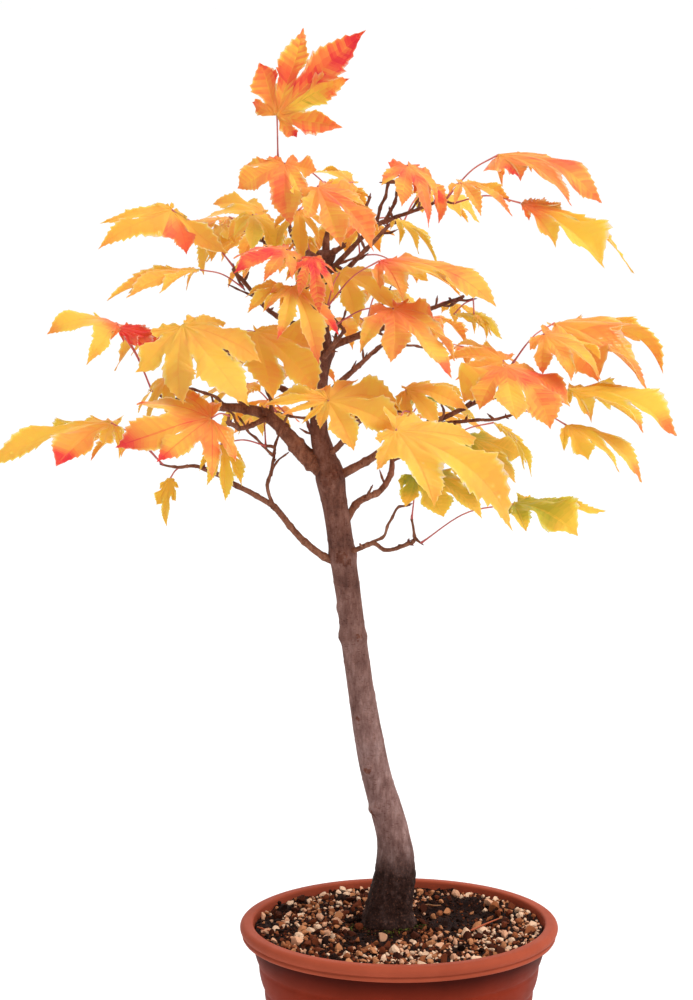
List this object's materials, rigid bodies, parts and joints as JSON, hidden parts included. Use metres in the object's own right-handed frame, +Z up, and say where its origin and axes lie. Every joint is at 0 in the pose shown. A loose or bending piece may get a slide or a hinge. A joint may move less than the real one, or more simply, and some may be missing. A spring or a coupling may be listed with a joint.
{
  "type": "potted maple bonsai",
  "caption": "Small potted maple bonsai in autumn leaf: slender leaning trunk, tiered boughs with hanging gold and orange palmate leaves, round ribbed terracotta-coloured pot of gritty soil.",
  "frame": {"origin": "centre of the pot's flat underside", "axes": "+Z up along the pot's axis, +X to the viewer's right and -Y towards the viewer of the picture"},
  "size_m": [0.3765, 0.2888, 0.6439],
  "materials": {
    "pot": "satin",
    "soil": "matte",
    "bark": "matte",
    "leaf_gold": "satin",
    "leaf_amber": "satin",
    "leaf_ember": "satin",
    "leaf_lime": "satin"
  },
  "bodies": {
    "root": {"pot": "pot", "soil": "soil", "trunk": "bark", "low_left_bough": "bark", "low_left_spur": "bark", "low_right_bough": "bark", "left_main_bough": "bark", "front_left_bough": "bark", "right_main_bough": "bark", "right_fork_bough": "bark", "right_curved_bough": "bark", "right_small_bough": "bark", "left_upper_bough": "bark", "centre_bough": "bark", "right_upper_bough": "bark", "left_high_bough": "bark", "front_high_bough": "bark", "top_right_bough": "bark", "top_spur": "bark", "top_right_low_bough": "bark", "top_left_bough": "bark", "top_bough": "bark", "back_low_bough": "bark", "back_mid_bough": "bark", "back_high_bough": "bark", "top_mass": "leaf_ember", "crown_mass": "leaf_amber", "crown_left_mass": "leaf_gold", "high_left_mass": "leaf_amber", "crown_front_mass": "leaf_ember", "centre_mass": "leaf_amber", "top_right_mass": "leaf_amber", "inner_right_mass": "leaf_ember", "right_high_mass": "leaf_gold", "right_upper_mass": "leaf_gold", "left_mass": "leaf_gold", "left_front_mass": "leaf_amber", "left_upper_mass": "leaf_gold", "low_left_mass": "leaf_gold", "spur_mass": "leaf_gold", "centre_front_mass": "leaf_gold", "right_mass": "leaf_amber", "right_low_mass": "leaf_amber", "low_right_mass": "leaf_lime", "right_back_mass": "leaf_lime", "back_low_mass": "leaf_gold", "back_mid_mass": "leaf_amber", "back_high_mass": "leaf_gold"}
  },
  "joints": []
}
